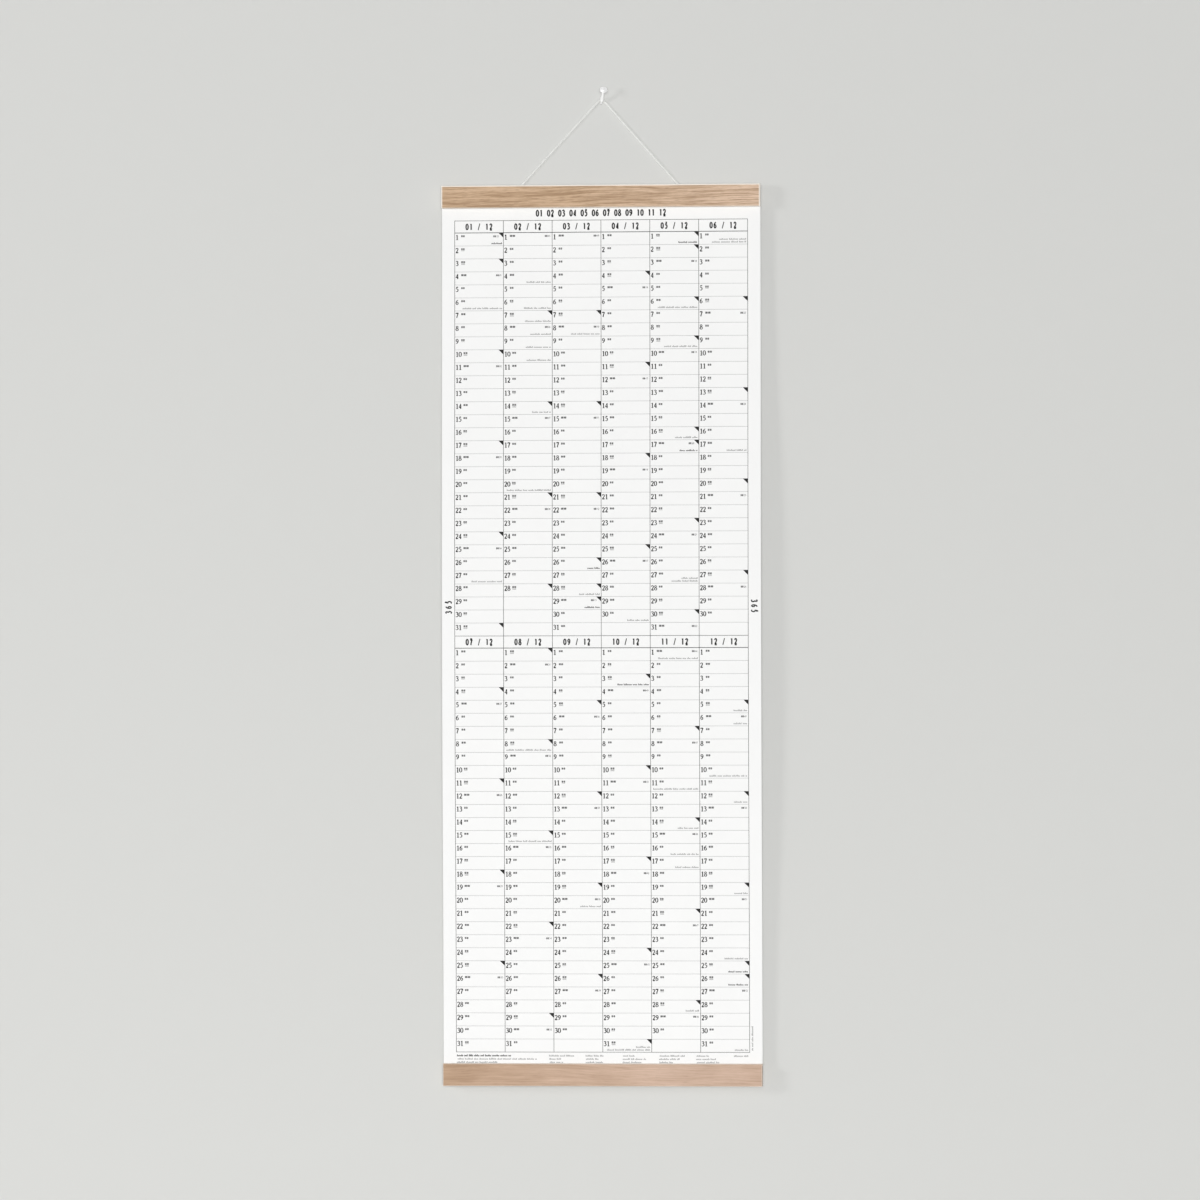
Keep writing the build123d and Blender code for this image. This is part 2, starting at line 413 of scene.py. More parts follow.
def write(words, height, pitch, thick, thin, proud, serif=False, squeeze=1.0, turn=0.0):
    """Numerals as (points, quads).

    words are (text, x, drop) with x and drop at the left end of the foot of the text.
    turn is in degrees, anticlockwise, about that point.
    """
    places = {}
    spin = radians(turn)
    for text, x, drop in words:
        for index, character in enumerate(text):
            if character != " ":
                step = index * pitch
                spot = (x + step * cos(spin), drop - step * sin(spin))
                places.setdefault(character, []).append(spot)
    turned = np.array([[cos(spin), -sin(spin)], [sin(spin), cos(spin)]])
    parts = []
    for character, spots in sorted(places.items()):
        spots = np.array(spots)[:, None, None, :]
        for ribbon, ring in glyph(character, thick, thin, serif):
            shape = (ribbon * height * np.array([squeeze, 1])) @ turned.T
            flat = spots + shape[None] * np.array([1, -1])
            parts.append(slabs(*printed(flat, proud), ring=ring))
    return merged(parts)


# --- Settings ---
def number(label, description, default, **form):
    return bpy.props.FloatProperty(
        name=label, description=description, default=default, **form
    )


def length(label, description, default):
    return number(label, description, default, unit="LENGTH", precision=5)


def angle(label, description, default):
    return number(label, description, radians(default), unit="ROTATION")


def colour(label, description, default):
    return bpy.props.FloatVectorProperty(
        name=label, description=description, default=default, subtype="COLOR", min=0, max=1
    )


class SheetSettings(bpy.types.PropertyGroup):
    paper: colour("Paper", "Colour of the bare sheet", (0.9, 0.9, 0.895))
    cockle: length("Cockle", "Height of the faint waves in the sheet", 0.00012)


class PrintSettings(bpy.types.PropertyGroup):
    black: colour("Black ink", "Colour of numerals, corners and dark rules", (0.012, 0.012, 0.012))
    grey: colour("Grey ink", "Colour of the fine rules", (0.33, 0.33, 0.33))
    soft: colour("Soft ink", "Colour of the small marks", (0.13, 0.13, 0.13))
    pale: colour("Pale ink", "Colour of the soft captions and the footer", (0.3, 0.3, 0.3))
    year: bpy.props.IntProperty(
        name="Year", description="Year whose days fill the table", default=2027
    )
    table_drop: length("Table drop", "Slat's top edge down to the table", 0.03265)
    header_height: length("Header height", "Height of the month headers", 0.01137)
    row_height: length("Row height", "Height of one day", 0.012243)
    column_width: length("Column width", "Width of one month", 0.046)
    numeral_height: length("Numeral height", "Height of the day numerals", 0.0046)
    heading_height: length("Heading height", "Height of the month numerals", 0.00564)


class OakSettings(bpy.types.PropertyGroup):
    left: colour("Oak, left", "Colour at the left end", (0.50, 0.343, 0.218))
    right: colour("Oak, right", "Colour at the right end", (0.60, 0.437, 0.318))


class CordSettings(bpy.types.PropertyGroup):
    cotton: colour("Cotton", "Colour of the cord", (0.81, 0.815, 0.80))
    diameter: length("Diameter", "Diameter of the laid cord", 0.002)
    lay: length("Lay", "Length of one turn of a strand", 0.0062)


class HardwareSettings(bpy.types.PropertyGroup):
    plastic: colour("Pin", "Colour of the pin's moulded body", (0.98, 0.98, 0.975))
    nickel: colour("Nickel", "Colour of the magnets' plating", (0.68, 0.66, 0.62))
    steel: colour("Steel", "Colour of the needle", (0.58, 0.58, 0.57))


class StageSettings(bpy.types.PropertyGroup):
    wall: colour("Wall", "Colour of the wall", (0.655, 0.657, 0.64))
    azimuth: angle("Azimuth", "Camera's angle round the calendar", 4.002)
    elevation: angle("Elevation", "Camera's angle above the level", -0.655)
    roll: angle("Roll", "Camera's turn about its own axis", -0.134)
    distance: length("Distance", "Camera to the middle of the view", 6.0)
    lens: number("Lens", "Focal length in millimetres on a 36 mm sensor", 191.57)
    light: number("Light", "Light on the wall, where 1 shows white as white", 1.04)


class CalendarSettings(bpy.types.PropertyGroup):
    sheet: bpy.props.PointerProperty(type=SheetSettings)
    print_: bpy.props.PointerProperty(type=PrintSettings)
    oak: bpy.props.PointerProperty(type=OakSettings)
    cord: bpy.props.PointerProperty(type=CordSettings)
    hardware: bpy.props.PointerProperty(type=HardwareSettings)
    stage: bpy.props.PointerProperty(type=StageSettings)


def chosen():
    """The settings as they stand in the panel."""
    return bpy.context.scene.calendar


# --- Finishes ---
def scaled(tone, factor):
    """A colour times a number, or times another colour."""
    return tuple(float(c) for c in np.array(tuple(tone)) * factor)


def paper_finish():
    """Uncoated paper: a hair of mottling, and tooth in the bump."""
    tone = chosen().sheet.paper
    paint = Paint("uncoated_paper")
    place = paint.coordinates()
    cloud = paint.noise(place, 0.03, 3.0)
    fibre = paint.noise(place, 1.6, 4.0, 0.65)
    shade = (cloud * 0.6 + fibre * 0.4).ramped(0.25, 0.75)
    paint.set(
        Base_Color=paint.mix(shade, scaled(tone, 0.985), scaled(tone, 1.008)),
        Roughness=fibre * 0.15 + 0.55,
        Specular_IOR_Level=0.25,
    )
    return paint.bump(fibre, 0.03, 0.4).material


def ink_finish(name, tone):
    """Ink on paper: its density varies a little with the paper's tooth."""
    paint = Paint(name)
    tooth = paint.noise(paint.coordinates(), 2.4, 3.0, 0.6)
    light = tuple(min(c * 1.25 + 0.01, 1.0) for c in tone)
    paint.set(
        Base_Color=paint.mix(tooth.ramped(0.35, 0.7), scaled(tone, 0.9), light),
        Roughness=tooth * 0.2 + 0.5,
        Specular_IOR_Level=0.2,
    )
    return paint.material


def oak_finish(node, seed, streaks, clouds, lean, tint, reach, rim):
    """Sanded oak: long streaks and finer ones along the slat, clouds, and open pores.

    All of it is noise in solid coordinates, stretched along X, so the slat's ends show
    it cut across. It starts at seed, leans by some degrees, and streaks and clouds are
    its strengths. Tone goes from left to right over reach, as shares of the sheet's
    width from its middle. The rounded edges are painted paler, a painted highlight for
    the light they catch, and rim, from 0 to 1, is how nearly white the upper edge and
    both ends are painted, a painted highlight for the light they catch from above.
    """
    tones = chosen().oak
    left, right = (scaled(t, tint) for t in (tones.left, tones.right))
    paint = Paint("oak_" + node)
    here = paint.coordinates()
    x, z = paint.axis(here, "X"), paint.axis(here, "Z")
    board = paint.mapped(here, location=seed, rotation=(0, radians(lean), 0))
    wander = paint.node(
        "ShaderNodeCombineXYZ", {"Z": paint.noise(board, (0.012, 0.02, 0.03)) * 7}
    )
    board = paint.node("ShaderNodeVectorMath", {0: wander, 1: board}, operation="ADD")
    long = paint.noise(board, (0.014, 0.5, 0.5), 3.0, 0.6)
    fine = paint.noise(board, (0.035, 1.2, 1.1), 3.0, 0.65)
    cloud = paint.noise(board, (0.022, 0.1, 0.09), 2.0)
    pore = paint.noise(board, (0.12, 2.4, 2.8), 1.0)
    pores = pore.ramped(0.58, 0.7)
    grain = (
        (long - 0.5) * (4.5 * streaks) + (fine - 0.5) * (5.0 * streaks)
        + (cloud - 0.5) * (2.5 * clouds) + 0.5
    ).clamped()
    low, high = box_mm(node)
    middle, half = ((high + low) / 2).tolist(), ((high - low) / 2).tolist()
    across = x.ramped(*(middle[0] + SHEET_WIDTH * share for share in reach))
    tone = paint.mix(across, left, right)
    dark = paint.mix(1.0, tone, (0.74, 0.70, 0.64), "MULTIPLY")
    pale = paint.mix(1.0, tone, (1.17, 1.19, 1.22), "MULTIPLY")
    wood = paint.mix(grain, dark, pale)
    wood = paint.mix(pores * (0.45 * streaks + 0.08), wood, (0.16, 0.09, 0.05))
    rise, end = z - middle[2], abs(x - middle[0])
    # Painted highlight: the rounded edges and the ends are painted paler, for the light they
    # catch.
    painted_edge_highlight = abs(rise).ramped(half[2] - 0.75, half[2] - 0.1).larger(
        end.ramped(half[0] - 0.9, half[0] - 0.1)
    )
    wood = paint.mix(painted_edge_highlight * 0.55, wood, (0.86, 0.79, 0.70))
    # Painted highlight: the upper edge and both ends are painted nearly white, for the light they
    # catch from above; rim sets how strongly.
    if rim:
        top = rise.ramped(half[2] - 1.4, half[2] - 0.8)
        sides = end.ramped(half[0] - 1.2, half[0] - 0.7)
        wood = paint.mix(top.larger(sides) * rim, wood, (0.98, 0.92, 0.84))
    paint.set(Base_Color=wood, Roughness=(1 - grain) * 0.12 + 0.5, Specular_IOR_Level=0.3)
    return paint.bump(grain - pores * 0.6, 0.12, 0.5).material


def cotton_finish():
    """Laid cotton: fibres run along each strand, by its UV map."""
    tone = chosen().cord.cotton
    paint = Paint("laid_cotton")
    uv = paint.coordinates("UV")
    fibre = paint.noise(uv, (260.0, 9.0, 1.0), 3.0, 0.6)
    cloud = paint.noise(uv, (40.0, 1.0, 1.0), 2.0)
    shade = (fibre * 0.7 + cloud * 0.3).ramped(0.3, 0.7)
    paint.set(
        Base_Color=paint.mix(shade, scaled(tone, (0.86, 0.86, 0.84)), scaled(tone, 1.1)),
        Roughness=fibre * 0.1 + 0.82,
        Specular_IOR_Level=0.15,
    )
    return paint.bump(fibre, 0.08, 0.6).material


def moulded_finish():
    """Glossy moulded plastic, with the faint haze of handling."""
    tone = chosen().hardware.plastic
    paint = Paint("moulded_white")
    haze = paint.noise(paint.coordinates(), 0.45, 3.0)
    paint.set(
        Base_Color=paint.mix(haze, scaled(tone, (0.985, 0.985, 0.98)), tone),
        Roughness=haze * 0.14 + 0.14,
        Subsurface_Weight=0.5,
        Subsurface_Radius=(1.0, 1.0, 1.0),
        Subsurface_Scale=1.5 * MM,
    )
    return paint.bump(haze, 0.01, 0.3).material


def metal_finish(name, tone, roughness, stretch):
    """Plated or drawn metal: fine noise, stretched where it was drawn."""
    paint = Paint(name)
    scuff = paint.noise(paint.coordinates(), stretch, 3.0, 0.6)
    paint.set(
        Base_Color=paint.mix(scuff, scaled(tone, 0.9), scaled(tone, 1.05)),
        Metallic=1.0,
        Roughness=scuff * 0.18 + roughness,
    )
    return paint.bump(scuff, 0.01, 0.4).material


# --- Stage ---
VIEW_CENTRE = Vector((-0.00142, -0.01, -0.46733))
LIGHT_CENTRE = Vector((0.0, 0.0, -0.46))
# The softboxes, as (name, azimuth, elevation, distance, size, share of the light on the
# wall, whether it throws shadows), in degrees and metres; then what the world adds, and
# the two lamps behind, which light the back of the calendar only.
SOFTBOXES = (
    ("front", 4.0, 0.5, 12.0, 2.9, 0.485, True),
    ("left", -50.0, 8.0, 5.0, 1.05, 0.095, True),
    ("low", -8.0, -58.0, 5.0, 1.0, 0.19, False),
    ("high", 8.0, 70.0, 6.0, 1.0, 0.08, False),
)
WORLD_SHARE = 0.12
BACK_LAMPS = (("behind_left", 215.0), ("behind_right", 145.0))


class CALENDAR_OT_stage(bpy.types.Operator):
    """Make the wall, floor, lights and camera."""

    bl_idname = "calendar.stage"
    bl_label = "Stage"

    def execute(self, context):
        settings = chosen().stage
        scene = context.scene
        scene.view_settings.view_transform = "Standard"
        scene.view_settings.look = "None"
        scene.view_settings.exposure = 0.0
        scene.view_settings.gamma = 1.0

        wall = one_sided("painted_wall", settings.wall)
        reach, top, foot, depth = 3200.0, 1400.0, -1500.0, 7500.0
        left, right = (-reach, 0, foot), (reach, 0, foot)
        walls = [(-reach, 0, top), left, right, (reach, 0, top)]
        floors = [left, (-reach, -depth, foot), (reach, -depth, foot), right]
        for name, corners in (("stage_wall", walls), ("stage_floor", floors)):
            piece = make_piece(name, corners, [[0, 1, 2, 3]])
            piece.data.materials.append(wall)

        forward, right, up = camera_axes(settings.azimuth, settings.elevation, settings.roll)
        camera = bpy.data.cameras.new("camera")
        camera.lens, camera.sensor_width = settings.lens, 36.0
        camera.clip_start, camera.clip_end = 0.05, 50.0
        eye = add_object("camera", camera)
        axes = Matrix((right, up, -forward)).transposed().to_4x4()
        eye.matrix_world = Matrix.Translation(VIEW_CENTRE - forward * settings.distance) @ axes
        scene.camera = eye

        world = bpy.data.worlds.new("studio")
        world.use_nodes = True
        background = world.node_tree.nodes["Background"]
        background.inputs["Color"].default_value = (1.0, 1.0, 1.0, 1.0)
        background.inputs["Strength"].default_value = WORLD_SHARE * settings.light
        scene.world = world

        for *place, share, shadow in SOFTBOXES:
            lamp = softbox(*place, share * settings.light)
            if not shadow:
                fill_only(lamp)
        for name, azimuth in BACK_LAMPS:
            lamp = bpy.data.lights.new(name, "SUN")
            lamp.energy, lamp.angle = 1.2, radians(20)
            fill_only(lamp)
            aim(lamp, azimuth, 25.0, 3.0)
        return {"FINISHED"}


def camera_axes(azimuth, elevation, roll):
    """Forward, right and up for a camera that looks along +Y at azimuth 0."""
    forward = Vector(
        (-sin(azimuth) * cos(elevation), cos(azimuth) * cos(elevation), -sin(elevation))
    )
    right = Vector((cos(azimuth), sin(azimuth), 0.0))
    up = right.cross(forward)
    return (
        forward,
        right * cos(roll) + up * sin(roll),
        up * cos(roll) - right * sin(roll),
    )


def fill_only(lamp):
    """Keeps a lamp from throwing shadows and from shining back off what it lights."""
    lamp.use_shadow = False
    lamp.cycles.max_bounces = 0


def aim(lamp, azimuth, elevation, distance):
    """Hangs a lamp at azimuth degrees to the right of the front, facing the calendar."""
    a, e = radians(azimuth), radians(elevation)
    away = Vector((sin(a) * cos(e), -cos(a) * cos(e), sin(e)))
    holder = add_object(lamp.name, lamp)
    holder.location = LIGHT_CENTRE + away * distance
    holder.rotation_mode = "QUATERNION"
    holder.rotation_quaternion = away.to_track_quat("Z", "Y")


def softbox(name, azimuth, elevation, distance, size, share):
    """A square area lamp that adds share to the light on the wall behind the calendar.

    Its power is pi squared times share times the distance squared, over the cosine of
    the angle at which its light meets the wall.
    """
    lamp = bpy.data.lights.new("softbox_" + name, "AREA")
    lamp.shape, lamp.size = "SQUARE", size
    slant = cos(radians(azimuth)) * cos(radians(elevation))
    lamp.energy = pi**2 * share * distance**2 / slant
    aim(lamp, azimuth, elevation, distance)
    return lamp


def one_sided(name, tone):
    """Matt paint that is clear from behind, so that the back of the object shows."""
    paint = Paint(name)
    grain = paint.noise(paint.coordinates(), 0.35, 3.0, 0.6)
    paint.set(
        Base_Color=paint.mix(grain, scaled(tone, 0.994), scaled(tone, 1.006)),
        Roughness=0.95,
        Specular_IOR_Level=0.0,
    )
    back = paint.node("ShaderNodeNewGeometry", out="Backfacing")
    clear = paint.node("ShaderNodeBsdfTransparent")
    solid = Value(paint, paint.shader.outputs[0])
    whole = paint.node("ShaderNodeMixShader", {0: back, 1: solid, 2: clear})
    paint.tree.links.new(whole.socket, paint.output.inputs["Surface"])
    return paint.material


# --- Cord and knots ---
# The cord's route from knot to knot, in millimetres from the place where it hangs. It
# leaves its left hole more steeply than its right one.
ROUTE = np.array([
    (-80.0, -5.5, -86.5), (-80.0, -1.3, -86.5), (-80.3, -1.3, -82.0), (-9.22, -1.3, -6.15),
    (-1.36, -1.3, 3.0), (1.36, -1.3, 3.0),
    (9.22, -1.3, -6.15), (77.22, -1.3, -83.35), (80.0, -1.3, -86.5), (80.0, -5.5, -86.5),
])
SIDES = ("left", "right")
# A strand's radius and how far its centre is from the cord's, as shares of the cord's
# radius.
STRAND_SHARE, HELIX_SHARE = 0.74, 0.41


def cord_route():
    """The whole route in metres, centred between the two knots and hung from their height."""
    middle = np.mean([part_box("cord_knot_" + side) for side in SIDES], axis=(0, 1))
    return (ROUTE - (0, 0, ROUTE[0, 2])) * MM + middle * (1, 0, 1)


def route_points(route, step):
    """Evenly spaced points, in millimetres, along the smooth line of a route."""
    curve = bpy.data.curves.new("route", "CURVE")
    curve.dimensions = "3D"
    spline = curve.splines.new("NURBS")
    spline.points.add(len(route) - 1)
    spline.points.foreach_set("co", np.column_stack([route, np.ones(len(route))]).ravel())
    spline.order_u = 3
    spline.use_endpoint_u = True
    spline.resolution_u = 24
    holder = add_object("route", curve)
    bpy.context.view_layer.update()
    mesh = bpy.data.meshes.new_from_object(
        holder.evaluated_get(bpy.context.evaluated_depsgraph_get())
    )
    points = np.empty(len(mesh.vertices) * 3)
    mesh.vertices.foreach_get("co", points)
    bpy.data.objects.remove(holder)
    bpy.data.curves.remove(curve)
    bpy.data.meshes.remove(mesh)
    return spaced(points.reshape(-1, 3) / MM, step)


def distances(points):
    """How far along its line each point is from the first."""
    return np.concatenate([[0], np.cumsum(np.linalg.norm(np.diff(points, axis=0), axis=1))])


def spaced(points, step):
    """Points an even step apart on the line through the given ones."""
    run = distances(points)
    stations = np.linspace(0, run[-1], int(run[-1] / step))
    return np.column_stack([np.interp(stations, run, points[:, k]) for k in range(3)])


def strands(path, across, diameter, lay, sides=10, closed=False):
    """A laid cord of three strands along a path, as (points, quads, caps, uv).

    across is a direction at each point of the path, level with the cord's section. A
    strand's centre turns about the path once in each lay, and its section is a circle
    round that centre. The circles overlap, as pulled cotton packs, and stand a little
    proud of the diameter, as its fuzz does.
    """
    run = distances(path)
    ahead = unit(slope(path, closed))
    b = unit(across - (across * ahead).sum(axis=1, keepdims=True) * ahead)
    n = np.cross(ahead, b)
    strand, helix = STRAND_SHARE * diameter / 2, HELIX_SHARE * diameter / 2
    stations = len(path)
    theta = 2 * pi * np.arange(sides) / sides
    points, quads, caps, uv = [], [], [], []
    for k in range(3):
        phi = (2 * pi * run / lay + 2 * pi * k / 3)[:, None]
        outward = np.cos(phi) * n + np.sin(phi) * b
        centre = path + helix * outward
        along = unit(slope(centre, closed))
        side = unit(np.cross(along, outward))
        up = np.cross(side, along)
        ring = (
            np.cos(theta)[None, :, None] * up[:, None]
            + np.sin(theta)[None, :, None] * side[:, None]
        )
        points.append((centre[:, None] + strand * ring).reshape(-1, 3))
        grid = np.arange(stations * sides).reshape(stations, sides) + k * stations * sides
        here, there = (grid, np.roll(grid, -1, axis=0)) if closed else (grid[:-1], grid[1:])
        quads.append(
            np.stack(
                [here, np.roll(here, -1, axis=1), np.roll(there, -1, axis=1), there], axis=-1
            ).reshape(-1, 4)
        )
        if not closed:
            caps += [grid[0, ::-1], grid[-1]]
        uv.append(
            np.stack(np.broadcast_arrays(run[:, None] / 1000 + k, theta / (2 * pi)), -1)
            .reshape(-1, 2)
        )
    return np.concatenate(points), np.concatenate(quads), caps, np.concatenate(uv)


class CALENDAR_OT_cord(bpy.types.Operator):
    """Make the laid cord that hangs the calendar on its pin, and its two knots."""

    bl_idname = "calendar.cord"
    bl_label = "Cord and knots"

    def execute(self, context):
        settings = chosen().cord
        cotton = cotton_finish()
        route = cord_route()
        path = route_points(route, 0.4)
        # Seen from the front, the cord's section is level across its run. Where it runs
        # straight back through a slat, the run of the strand outside is taken.
        ahead = unit(np.gradient(path, axis=0)) * (1, 0, 1)
        outside = np.where(path[:, :1] < CENTRE_X, (0.88, 0.0, 1.0), (0.88, 0.0, -1.0))
        across = np.cross(unit(ahead + 0.001 * outside), (0, 1, 0))
        points, quads, caps, uv = strands(
            path, across, settings.diameter / MM, settings.lay / MM
        )
        cord = make_piece("laid_cord", points, quads, caps, smooth=50, uv=uv)
        dress(cord, cotton)
        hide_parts("hanging_cord")
        for side in SIDES:
            centre = sum(box_mm("cord_knot_" + side)) / 2
            overhand_knot("knot_" + side, centre, cotton)
            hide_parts("cord_knot_" + side)
        return {"FINISHED"}


def overhand_knot(name, centre, cotton):
    """A pulled-tight overhand knot: the trefoil (sin t + 2 sin 2t, cos t - 2 cos 2t,
    -sin 3t), flattened to the depth of its recess."""
    t = np.linspace(0, 2 * pi, 120, endpoint=False)
    reach, depth, thickness, turns = 0.62, 0.95, 1.7, 5
    path = np.column_stack(
        [
            reach * (np.sin(t) + 2 * np.sin(2 * t)),
            -depth * np.sin(3 * t),
            reach * (np.cos(t) - 2 * np.cos(2 * t)),
        ]
    )
    across = np.tile([0.0, 1.0, 0.0], (len(t), 1))
    lay = distances(np.vstack([path, path[:1]]))[-1] / turns
    points, quads, _, uv = strands(path + centre, across, thickness, lay, 8, closed=True)
    return dress(make_piece(name, points, quads, smooth=50, uv=uv), cotton)


class CALENDAR_OT_sheet(bpy.types.Operator):
    """Make the bowed paper sheet."""

    bl_idname = "calendar.sheet"
    bl_label = "Sheet"

    def execute(self, context):
        half = SHEET_WIDTH / 2
        heights = [SHEET_HIGH[2], *np.linspace(CLAMP_TOP, CLAMP_BOTTOM, 168), SHEET_LOW[2]]
        x, z = np.meshgrid(np.linspace(-half, half, 61), heights)
        flat = np.stack([x, TOP_EDGE - z], axis=-1)[None]
        points, quads = slabs(*printed(flat, 0.0, BACK_Y - FACE_Y))
        sheet = make_piece("paper_sheet", points, quads, smooth=40)
        dress(sheet, paper_finish())
        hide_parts("calendar_sheet")
        return {"FINISHED"}


# --- Print ---
# All lengths here are in millimetres: how far ink stands proud of the paper, the rules'
# widths, the corners' size, the line on which the footer starts and its pitch.
INK, UPRIGHT_INK, LEVEL_INK, CORNER_INK = 0.06, 0.07, 0.08, 0.1
FINE_RULE, RULE, BOLD_RULE = 0.3, 0.42, 0.6
CORNER = 4.7
FOOTER_DROP, FOOTER_PITCH = 818.6, 3.05
COLUMNS, ROWS = 6, 31
WEEKDAY_WIDTHS = (4.9, 3.2, 3.5, 3.9, 3.3, 3.2, 3.6)
# Numerals as (height, pitch), and the pens that draw them.
TITLE_TYPE, SIDE_TYPE, WEEK_TYPE = (5.9, 3.52), (5.6, 4.7), (1.7, 1.15)
DAY_PEN = dict(thick=0.1, thin=0.055, proud=INK, serif=True)
HEAD_PEN = dict(thick=0.15, thin=0.1, proud=INK, squeeze=0.72)
WEEK_PEN = dict(thick=0.09, thin=0.06, proud=INK)
# Days that carry a corner besides each Sunday; then captions as (month, day, width), and
# the footer's runs as (line, left, right).
CORNER_DAYS = {(1, 1), (3, 26), (3, 29), (5, 1), (5, 6), (5, 17), (12, 25)}
DARK_CAPTIONS = [
    (1, 1, 10.8), (3, 26, 12.4), (3, 29, 15.2), (5, 1, 18.0), (5, 17, 17.6),
    (10, 3, 30.4), (12, 25, 19.2), (12, 26, 18.8),
]
SOFT_CAPTIONS = [
    (1, 6, 38.0), (1, 27, 29.2), (2, 4, 23.2), (2, 6, 25.6), (2, 7, 25.2), (2, 8, 20.0),
    (2, 9, 24.0), (2, 10, 23.2), (2, 14, 18.4), (2, 20, 42.0), (3, 8, 28.0), (3, 28, 19.6),
    (4, 30, 20.8), (5, 6, 38.0), (5, 9, 32.0), (5, 16, 21.6), (5, 27, 24.8), (6, 1, 32.8),
    (6, 17, 18.8), (8, 8, 42.6), (8, 15, 40.8), (9, 20, 20.0), (10, 31, 41.2),
    (11, 1, 38.0), (11, 11, 42.6), (11, 14, 19.6), (11, 16, 26.8), (11, 17, 22.4),
    (11, 28, 13.6), (12, 5, 13.6), (12, 6, 13.2), (12, 10, 36.0), (12, 12, 13.6),
    (12, 19, 12.8), (12, 24, 22.4), (12, 31, 12.8),
]
SECOND_LINES = [(5, 27, 16.0), (6, 1, 26.0), (10, 31, 14.0)]
FOOTER = [
    (0, -50.8, -26.8), (0, -16.4, 0.8), (0, 18.4, 30.0), (0, 53.2, 77.2), (0, 87.6, 100.0),
    (0, 122.4, 136.8), (1, -137.6, -62.0), (1, -50.8, -39.2), (1, -16.4, -4.0),
    (1, 18.4, 40.8), (1, 52.8, 72.4), (1, 87.6, 106.4), (2, -137.6, -99.2),
    (2, -50.8, -37.2), (2, -16.4, 0.0), (2, 18.4, 36.4), (2, 52.8, 66.0), (2, 87.6, 109.6),
]


class Table:
    """Where the print's table has its lines, in millimetres."""

    def __init__(self):
        s = chosen().print_
        self.column, self.row = s.column_width / MM, s.row_height / MM
        self.header, self.top = s.header_height / MM, s.table_drop / MM
        self.left = -self.column * COLUMNS / 2
        self.half = self.header + ROWS * self.row
        self.bottom = self.top + 2 * self.half

    def corner(self, month, day):
        """The top left corner of a day's cell."""
        half, column = divmod(month - 1, COLUMNS)
        return (
            self.left + column * self.column,
            self.top + half * self.half + self.header + (day - 1) * self.row,
        )


def year_days():
    """Every day of the year, as (month, day, weekday from Monday, ISO week)."""
    day = date(chosen().print_.year, 1, 1)
    days = []
    while day.year == chosen().print_.year:
        days.append((day.month, day.day, day.weekday(), day.isocalendar()[1]))
        day += timedelta(days=1)
    return days


def ink_piece(name, material, *parts):
    return dress(make_piece(name, *merged(parts)), material)


class CALENDAR_OT_rules(bpy.types.Operator):
    """Print the table's rules."""

    bl_idname = "calendar.rules"
    bl_label = "Rules"

    def execute(self, context):
        table = Table()
        inks = chosen().print_

        def level(drops, width, proud):
            """Rules across the whole table, as (points, quads)."""
            drops = np.array(drops)
            ends = (table.left, drops - width / 2, -table.left, drops + width / 2)
            return slabs(*printed(boxes(*ends, across=4 * COLUMNS + 1), proud))

        rows = [table.corner(m, d)[1] for m in (1, COLUMNS + 1) for d in range(2, ROWS + 1)]
        grey = ink_finish("grey_ink", inks.grey)
        ink_piece("fine_rules", grey, level(rows, FINE_RULE, INK))
        columns = table.left + table.column * np.arange(COLUMNS + 1)
        upright = boxes(
            columns - RULE / 2, table.top - RULE / 2,
            columns + RULE / 2, table.bottom + RULE / 2, down=2 * ROWS + 3,
        )
        heads = (table.top + table.header, table.top + table.half + table.header)
        ink_piece(
            "dark_rules",
            ink_finish("rule_ink", inks.black),
            slabs(*printed(upright, UPRIGHT_INK)),
            level((table.top, table.top + table.half, table.bottom), RULE, LEVEL_INK),
            level(heads, BOLD_RULE, LEVEL_INK),
        )
        return {"FINISHED"}


class CALENDAR_OT_numerals(bpy.types.Operator):
    """Print the day numerals, month headings, title row and side numerals."""

    bl_idname = "calendar.numerals"
    bl_label = "Numerals"

    def execute(self, context):
        table = Table()
        inks = chosen().print_
        black = ink_finish("numeral_ink", inks.black)
        height, margin, lift = inks.numeral_height / MM, 0.8, 1.9
        days = []
        for month, day, _, _ in year_days():
            x, drop = table.corner(month, day)
            days.append((str(day), x + margin, drop + lift + height))
        ink_piece("day_numerals", black, write(days, height, 0.63 * height, **DAY_PEN))

        tall, pitch = inks.heading_height / MM, 3.75
        headings = []
        for month in range(1, 13):
            text = f"{month:02d} / 12"
            x, drop = table.corner(month, 1)
            width = pitch * (len(text) - 1) + GLYPH_WIDTH * tall * 0.74
            foot = drop - (table.header - tall) / 2
            headings.append((text, x + (table.column - width) / 2, foot))
        ink_piece("month_numerals", black, write(headings, tall, pitch, **HEAD_PEN))

        title = " ".join(f"{month:02d}" for month in range(1, 13))
        last_width, foot = 2.6, 28.9
        start = -(TITLE_TYPE[1] * (len(title) - 1) + last_width) / 2
        ink_piece(
            "title_numerals", black, write([(title, start, foot)], *TITLE_TYPE, **HEAD_PEN)
        )

        text = str(len(year_days()))
        out, above, half_length = 141.0, 27.3, 6.3
        middle = table.top + table.half - above
        sides = [
            write(
                [(text, side * out, middle - side * half_length)],
                *SIDE_TYPE, turn=-90 * side, **HEAD_PEN,
            )
            for side in (-1, 1)
        ]
        ink_piece("side_numerals", black, *sides)
        return {"FINISHED"}


def greeked(rng, left, right, foot, low=1.05, tall=1.6, width=0.6):
    """A run of small blocks, as rectangles: the look of small type, without letters.

    The blocks stand an even pitch apart and end at right. Three in ten are tall, and
    now and then one is left out.
    """
    pitch = 0.85
    count = max(int((right - left) / pitch), 3)
    lefts = right - pitch * np.arange(count, 0, -1)
    height = np.where(rng.random(count) < 0.3, tall, low)
    keep = np.ones(count, bool)
    place = rng.integers(6, 12)
    while place < count - 2:
        keep[place] = False
        place += rng.integers(5, 12)
    return np.column_stack(
        [lefts, foot - height, lefts + width, np.full(count, foot)]
    )[keep]


